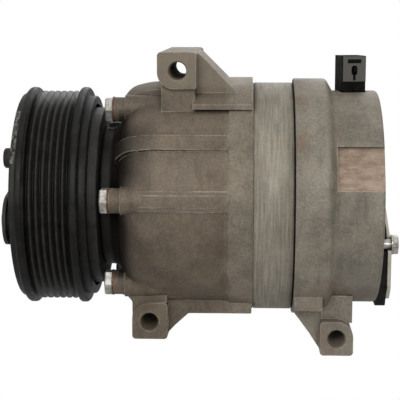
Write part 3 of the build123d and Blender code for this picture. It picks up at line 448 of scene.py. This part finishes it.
HOUSING = cast_aluminium(
    "housing_cast", ("95897a", "7e7466", "62594d"), "6b5a47", offset=0.0, zone=shaded_neck
)
BLOCK = cast_aluminium(
    "block_cast", ("a09889", "8c8577", "716a5e"), "7a6a56", grain=0.5, offset=5.0, zone=turned_bands
)
HEAD = cast_aluminium(
    "head_cast", ("9d9585", "857e71", "6a645a"), "7b6656", grain=1.1, offset=9.0, zone=brown_panel
)
PULLEY = pulley_coating("pulley_coating")
COIL = dark_steel("coil_steel", "1c1b1a", "3a3733", 0.5)
ZINC = zinc_steel("zinc_plate")
COPPER = tarnished_copper("copper_washer")
ARMATURE = armature_steel("armature_steel")
PHOSPHATE = dark_steel("phosphated_steel")
GROUND = machined_metal("ground_steel", "a9a9a8", "8a8986", 0.25)
TURNED = machined_metal("turned_aluminium", "b9b7b3", "9d9a94", 0.35)
RUBBER = rubber("black_rubber")
PLASTIC = moulded_plastic("connector_plastic", "121210", "1c1b18", zone=connector_face)
POLYMER = moulded_plastic("cage_polymer", "8a7a58", "9c8c68")
CREAM = cream_coating("cream_coating")
WINDING = wound_copper("wound_copper")
BRASS = brass("brass_fitting")

BY_SLOT = {
    "machined_aluminium": TURNED,
    "pulley_black": PULLEY,
    "zinc_steel": ZINC,
    "bearing_steel": GROUND,
    "dark_steel": PHOSPHATE,
    "copper_washer": COPPER,
    "copper_winding": WINDING,
    "brass_fitting": BRASS,
    "black_rubber": RUBBER,
    "connector_plastic": PLASTIC,
    "cover_cream": CREAM,
    "bearing_polymer": POLYMER,
    "gasket_black": RUBBER,
}
BY_NODE = {
    "front_housing": HOUSING,
    "cylinder_block": BLOCK,
    "rear_head": HEAD,
    "coil_shell": COIL,
    "armature_plate": ARMATURE,
}
slot_of = {part["node"]: part["material_slot"] for part in frame["record"]["subparts"]}

for name, piece in nodes.items():
    look = BY_NODE.get(name) or BY_SLOT[slot_of[name]]
    if not piece.data.materials:
        piece.data.materials.append(look)
    for i in range(len(piece.data.materials)):
        piece.data.materials[i] = look
    weld = piece.modifiers.new("weld", "WELD")
    weld.merge_threshold = WELD_GAP

# ==== the return spring, wound as a coil of wire and carried by the shaft ====

SPRING_TURNS = 7.0
WIRE_R = 0.7 * MM
WIRE_SIDES = 12
STEPS_PER_TURN = 40
END_PITCH = 1.5 * MM  # of the closed turn at each end


def advance(turn, length):
    """How far along its axis the wire has come after so many turns."""
    middle_pitch = (length - 2 * END_PITCH) / (SPRING_TURNS - 2)
    closed = min(turn, 1.0) + max(turn - SPRING_TURNS + 1.0, 0.0)
    return closed * END_PITCH + (turn - closed) * middle_pitch


def coil_spring(name, low, high, middle_r):
    """A wire wound about the shaft axis from low to high along X, with its two end turns closed."""
    steps = int(SPRING_TURNS * STEPS_PER_TURN)
    length = high - low - 2 * WIRE_R
    points = []
    for i in range(steps + 1):
        turn = i / STEPS_PER_TURN
        out = Vector((0.0, cos(tau * turn), sin(tau * turn)))
        along = Vector((0.0, -out.z, out.y)) * tau * middle_r
        along.x = length / SPRING_TURNS
        side = along.normalized().cross(out)
        middle = out * middle_r + Vector((low + WIRE_R + advance(turn, length), 0.0, 0.0))
        for j in range(WIRE_SIDES):
            angle = tau * j / WIRE_SIDES
            points.append(middle + (out * cos(angle) + side * sin(angle)) * WIRE_R)
    faces = [list(range(WIRE_SIDES))[::-1]]
    faces.append(list(range(steps * WIRE_SIDES, (steps + 1) * WIRE_SIDES)))
    for i in range(steps):
        for j in range(WIRE_SIDES):
            here, beside = i * WIRE_SIDES + j, i * WIRE_SIDES + (j + 1) % WIRE_SIDES
            faces.append((here, beside, beside + WIRE_SIDES, here + WIRE_SIDES))
    mesh = bpy.data.meshes.new(name)
    mesh.from_pydata(points, [], faces)
    mesh.shade_smooth()
    mesh.materials.append(GROUND)
    piece = bpy.data.objects.new(name, mesh)
    scene.collection.objects.link(piece)
    return piece


spring_low, spring_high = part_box("return_spring")
spring = coil_spring("return_spring_coil", spring_low.x, spring_high.x, spring_high.y - WIRE_R)
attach(spring, "shaft")
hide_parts("return_spring")
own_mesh(spring)

# ==== surroundings, lights and camera ====

SKY_STRENGTH = 0.62
SKY_GREYS = (0.72, 1.0)  # from below, from above

world = bpy.data.worlds.new("studio")
scene.world = world
world.use_nodes = True
shade = world.node_tree
sky = shade.nodes["Background"]
sky.inputs["Strength"].default_value = SKY_STRENGTH
direction = shade.nodes.new("ShaderNodeTexCoord")
parts = shade.nodes.new("ShaderNodeSeparateXYZ")
height = shade.nodes.new("ShaderNodeMapRange")
height.inputs["From Min"].default_value = -1.0
fade = shade.nodes.new("ShaderNodeValToRGB")
for element, grey in zip(fade.color_ramp.elements, SKY_GREYS):
    element.color = (grey, grey, grey, 1)
shade.links.new(direction.outputs["Generated"], parts.inputs[0])
shade.links.new(parts.outputs["Z"], height.inputs["Value"])
shade.links.new(height.outputs[0], fade.inputs["Fac"])
shade.links.new(fade.outputs[0], sky.inputs["Color"])
seen = shade.nodes.new("ShaderNodeBackground")
seen.inputs["Color"].default_value = (1, 1, 1, 1)
paths = shade.nodes.new("ShaderNodeLightPath")
either = shade.nodes.new("ShaderNodeMixShader")
shade.links.new(paths.outputs["Is Camera Ray"], either.inputs[0])
shade.links.new(sky.outputs[0], either.inputs[1])
shade.links.new(seen.outputs[0], either.inputs[2])
shade.links.new(either.outputs[0], shade.nodes["World Output"].inputs["Surface"])


def softbox(name, place, target, size, power):
    """A square area light, size in metres, aimed at a point."""
    data = bpy.data.lights.new(name, "AREA")
    data.size = size
    data.energy = power
    lamp = bpy.data.objects.new(name, data)
    lamp.location = place
    lamp.rotation_euler = (Vector(target) - Vector(place)).to_track_quat("-Z", "Y").to_euler()
    scene.collection.objects.link(lamp)


SOFTBOXES = (  # name, place and size in metres, power in watts
    ("key", (0.05, -1.3, 0.6), 0.8, 8.5),
    ("top", (0.15, -0.1, 1.2), 0.8, 1.6),
    ("back", (0.3, 1.2, 0.7), 0.9, 4.0),
)
for name, place, size, power in SOFTBOXES:
    softbox(name, place, (cad_low + cad_high) / 2, size, power)

EYE = Vector((106.9, -692.5, 102.3)) * MM
AIM = Vector((79.4, 0.0, -2.9)) * MM
LENS = 110.0  # in mm, on a sensor 36 mm wide
camera_data = bpy.data.cameras.new("camera")
camera_data.lens = LENS
camera_data.sensor_width = 36.0
camera = bpy.data.objects.new("camera", camera_data)
camera.location = EYE
camera.rotation_euler = (AIM - EYE).to_track_quat("-Z", "Y").to_euler()
scene.collection.objects.link(camera)
scene.camera = camera
